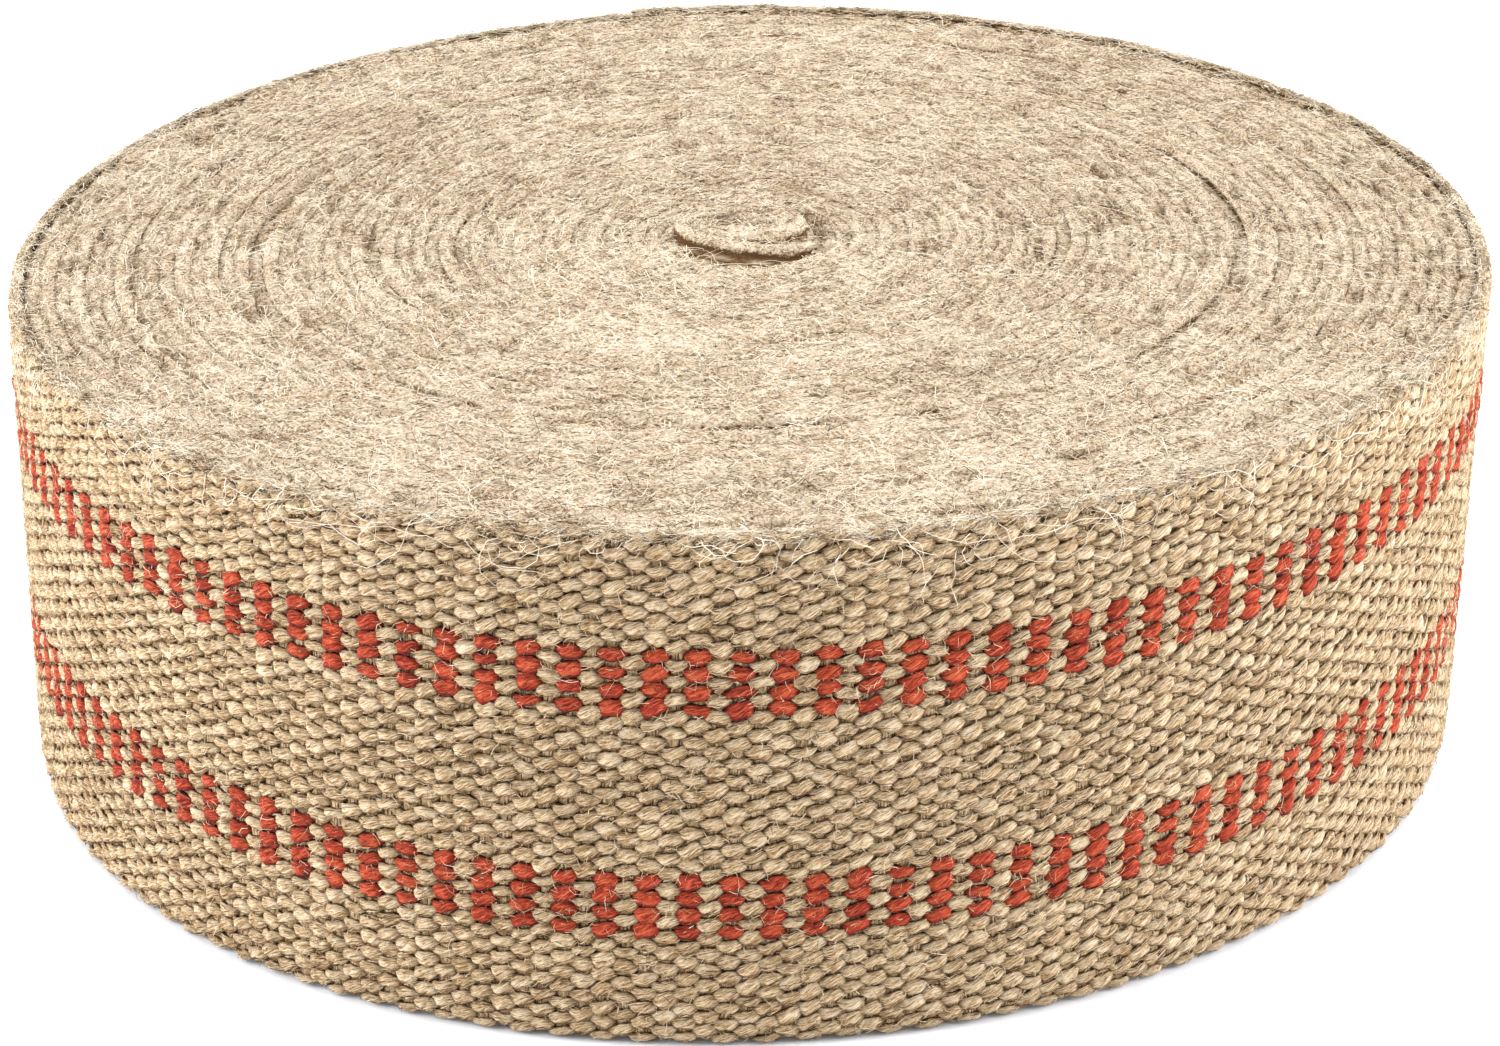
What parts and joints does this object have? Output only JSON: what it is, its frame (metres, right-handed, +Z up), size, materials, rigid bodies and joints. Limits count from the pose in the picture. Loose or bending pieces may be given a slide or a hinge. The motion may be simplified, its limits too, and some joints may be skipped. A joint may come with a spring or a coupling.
{
  "type": "roll of jute webbing",
  "caption": "Coreless roll of woven jute upholstery webbing with two red stripes, its start curled in the eye and its free end lying on the outside.",
  "frame": {"origin": "under the middle of the roll's box, on the face it rests on", "axes": "+Z up along the winding axis, across the webbing's width; -Y towards the front; the free end lies at the back, just past +Y towards -X"},
  "size_m": [0.2618, 0.2686, 0.089],
  "materials": {
    "natural_jute": "coarse warp-faced plain weave of undyed jute, matt and hairy",
    "red_jute": "brick-red dyed jute warp yarn, matt"
  },
  "bodies": {
    "pack": {"turn_ring_9": "natural_jute", "outer_turn": "natural_jute", "lower_red_yarn_1": "red_jute", "lower_red_yarn_2": "red_jute", "lower_red_yarn_3": "red_jute", "lower_red_yarn_4": "red_jute", "upper_red_yarn_1": "red_jute", "upper_red_yarn_2": "red_jute", "upper_red_yarn_3": "red_jute", "upper_red_yarn_4": "red_jute"},
    "start": {"start_curl": "natural_jute"},
    "ring_1": {"turn_ring_1": "natural_jute"},
    "ring_2": {"turn_ring_2": "natural_jute"},
    "ring_3": {"turn_ring_3": "natural_jute"},
    "ring_4": {"turn_ring_4": "natural_jute"},
    "ring_5": {"turn_ring_5": "natural_jute"},
    "ring_6": {"turn_ring_6": "natural_jute"},
    "ring_7": {"turn_ring_7": "natural_jute"},
    "ring_8": {"turn_ring_8": "natural_jute"},
    "free_end_1": {"free_end_1_web": "natural_jute", "free_end_1_lower_red_yarn_1": "red_jute", "free_end_1_lower_red_yarn_2": "red_jute", "free_end_1_lower_red_yarn_3": "red_jute", "free_end_1_lower_red_yarn_4": "red_jute", "free_end_1_upper_red_yarn_1": "red_jute", "free_end_1_upper_red_yarn_2": "red_jute", "free_end_1_upper_red_yarn_3": "red_jute", "free_end_1_upper_red_yarn_4": "red_jute"},
    "free_end_2": {"free_end_2_web": "natural_jute", "free_end_2_lower_red_yarn_1": "red_jute", "free_end_2_lower_red_yarn_2": "red_jute", "free_end_2_lower_red_yarn_3": "red_jute", "free_end_2_lower_red_yarn_4": "red_jute", "free_end_2_upper_red_yarn_1": "red_jute", "free_end_2_upper_red_yarn_2": "red_jute", "free_end_2_upper_red_yarn_3": "red_jute", "free_end_2_upper_red_yarn_4": "red_jute"},
    "free_end_3": {"free_end_3_web": "natural_jute", "free_end_3_lower_red_yarn_1": "red_jute", "free_end_3_lower_red_yarn_2": "red_jute", "free_end_3_lower_red_yarn_3": "red_jute", "free_end_3_lower_red_yarn_4": "red_jute", "free_end_3_upper_red_yarn_1": "red_jute", "free_end_3_upper_red_yarn_2": "red_jute", "free_end_3_upper_red_yarn_3": "red_jute", "free_end_3_upper_red_yarn_4": "red_jute"},
    "free_end_4": {"free_end_4_web": "natural_jute", "free_end_4_lower_red_yarn_1": "red_jute", "free_end_4_lower_red_yarn_2": "red_jute", "free_end_4_lower_red_yarn_3": "red_jute", "free_end_4_lower_red_yarn_4": "red_jute", "free_end_4_upper_red_yarn_1": "red_jute", "free_end_4_upper_red_yarn_2": "red_jute", "free_end_4_upper_red_yarn_3": "red_jute", "free_end_4_upper_red_yarn_4": "red_jute"}
  },
  "joints": [
    {"name": "centre_push", "type": "slide", "parent": "pack", "child": "ring_8", "axis": [0, 0, 1], "range_m": [0, 0.006]},
    {"name": "ring_7_slip", "type": "slide", "parent": "ring_8", "child": "ring_7", "axis": [0, 0, 1], "range_m": [0, 0.006]},
    {"name": "ring_6_slip", "type": "slide", "parent": "ring_7", "child": "ring_6", "axis": [0, 0, 1], "range_m": [0, 0.006]},
    {"name": "ring_5_slip", "type": "slide", "parent": "ring_6", "child": "ring_5", "axis": [0, 0, 1], "range_m": [0, 0.006]},
    {"name": "ring_4_slip", "type": "slide", "parent": "ring_5", "child": "ring_4", "axis": [0, 0, 1], "range_m": [0, 0.006]},
    {"name": "ring_3_slip", "type": "slide", "parent": "ring_4", "child": "ring_3", "axis": [0, 0, 1], "range_m": [0, 0.006]},
    {"name": "ring_2_slip", "type": "slide", "parent": "ring_3", "child": "ring_2", "axis": [0, 0, 1], "range_m": [0, 0.006]},
    {"name": "ring_1_slip", "type": "slide", "parent": "ring_2", "child": "ring_1", "axis": [0, 0, 1], "range_m": [0, 0.006]},
    {"name": "start_pull", "type": "slide", "parent": "ring_1", "child": "start", "axis": [0, 0, 1], "range_m": [0, 0.03]},
    {"name": "free_end_peel", "type": "hinge", "parent": "pack", "child": "free_end_1", "pos_m": [0.1149, 0.05945, 0.0445], "axis": [0, 0, -1], "range_deg": [0, 30]},
    {"name": "free_end_2_unbend", "type": "hinge", "parent": "free_end_1", "child": "free_end_2", "pos_m": [0.09101, 0.09302, 0.0445], "axis": [0, 0, -1], "range_deg": [0, 18]},
    {"name": "free_end_3_unbend", "type": "hinge", "parent": "free_end_2", "child": "free_end_3", "pos_m": [0.05803, 0.11857, 0.0445], "axis": [0, 0, -1], "range_deg": [0, 18]},
    {"name": "free_end_4_unbend", "type": "hinge", "parent": "free_end_3", "child": "free_end_4", "pos_m": [0.01815, 0.1326, 0.0445], "axis": [0, 0, -1], "range_deg": [0, 18]}
  ],
  "couplings": [
    {"joint": "ring_7_slip", "follows": "centre_push", "ratio": 1},
    {"joint": "ring_6_slip", "follows": "centre_push", "ratio": 1},
    {"joint": "ring_5_slip", "follows": "centre_push", "ratio": 1},
    {"joint": "ring_4_slip", "follows": "centre_push", "ratio": 1},
    {"joint": "ring_3_slip", "follows": "centre_push", "ratio": 1},
    {"joint": "ring_2_slip", "follows": "centre_push", "ratio": 1},
    {"joint": "ring_1_slip", "follows": "centre_push", "ratio": 1},
    {"joint": "free_end_2_unbend", "follows": "free_end_peel", "ratio": 0.6},
    {"joint": "free_end_3_unbend", "follows": "free_end_peel", "ratio": 0.6},
    {"joint": "free_end_4_unbend", "follows": "free_end_peel", "ratio": 0.6}
  ]
}
